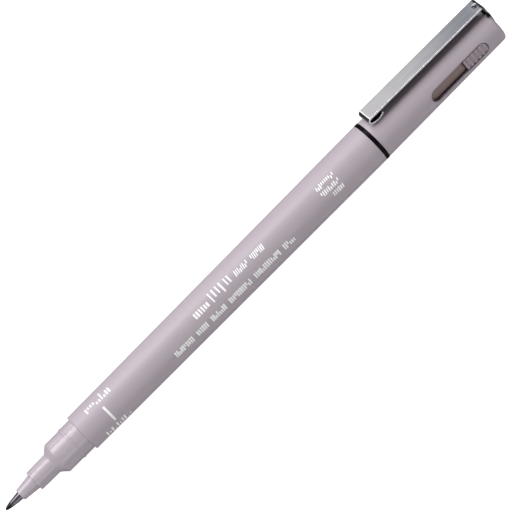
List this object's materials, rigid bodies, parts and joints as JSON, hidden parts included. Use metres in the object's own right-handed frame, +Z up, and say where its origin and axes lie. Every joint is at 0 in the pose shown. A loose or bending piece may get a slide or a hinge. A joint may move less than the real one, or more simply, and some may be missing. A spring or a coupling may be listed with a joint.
{
  "type": "calligraphy marker",
  "caption": "Slim brush-tip marker with a tapered barrel, stepped grip and flexible point, its cap with a steel pocket clip posted on the rear end.",
  "frame": {"origin": "on the floor under the middle of the marker's overall length and width, with the cap posted", "axes": "+X along the pen from the brush point to the cap's closed end, +Z up through the clip, the cap's window faces -Y"},
  "size_m": [0.1604, 0.0108, 0.0132],
  "materials": {
    "barrel_plastic": "satin",
    "grip_plastic": "gloss",
    "cap_plastic": "satin",
    "black_plastic": "gloss",
    "inner_cap_plastic": "matte",
    "clip_steel": "satin",
    "nib_fibre": "ink-soaked fibre",
    "reservoir_fibre": "ink-soaked fibre",
    "sleeve_film": "thin film"
  },
  "bodies": {
    "pen": {"barrel": "barrel_plastic", "grip_section": "grip_plastic", "nib_collar": "grip_plastic", "nib_stem": "nib_fibre", "ink_reservoir": "reservoir_fibre", "reservoir_sleeve": "sleeve_film", "tail_plug": "black_plastic"},
    "brush": {"brush_tip": "nib_fibre"},
    "cap": {"cap_shell": "cap_plastic", "inner_cap": "inner_cap_plastic", "end_insert": "cap_plastic", "clip_root": "clip_steel"},
    "clip": {"clip_strip": "clip_steel"}
  },
  "joints": [
    {"name": "cap_slide", "type": "slide", "parent": "pen", "child": "cap", "axis": [1, 0, 0], "range_m": [0, 0.03]},
    {"name": "clip_flex", "type": "hinge", "parent": "cap", "child": "clip", "pos_m": [0.0771, 0, 0.01265], "axis": [0, 1, 0], "range_deg": [0, 4], "stiffness_Nm_per_rad": 0.8},
    {"name": "nib_bend", "type": "hinge", "parent": "pen", "child": "brush", "pos_m": [-0.0752, 0, 0.00545], "axis": [0, 1, 0], "range_deg": [-12, 12], "stiffness_Nm_per_rad": 0.006}
  ]
}
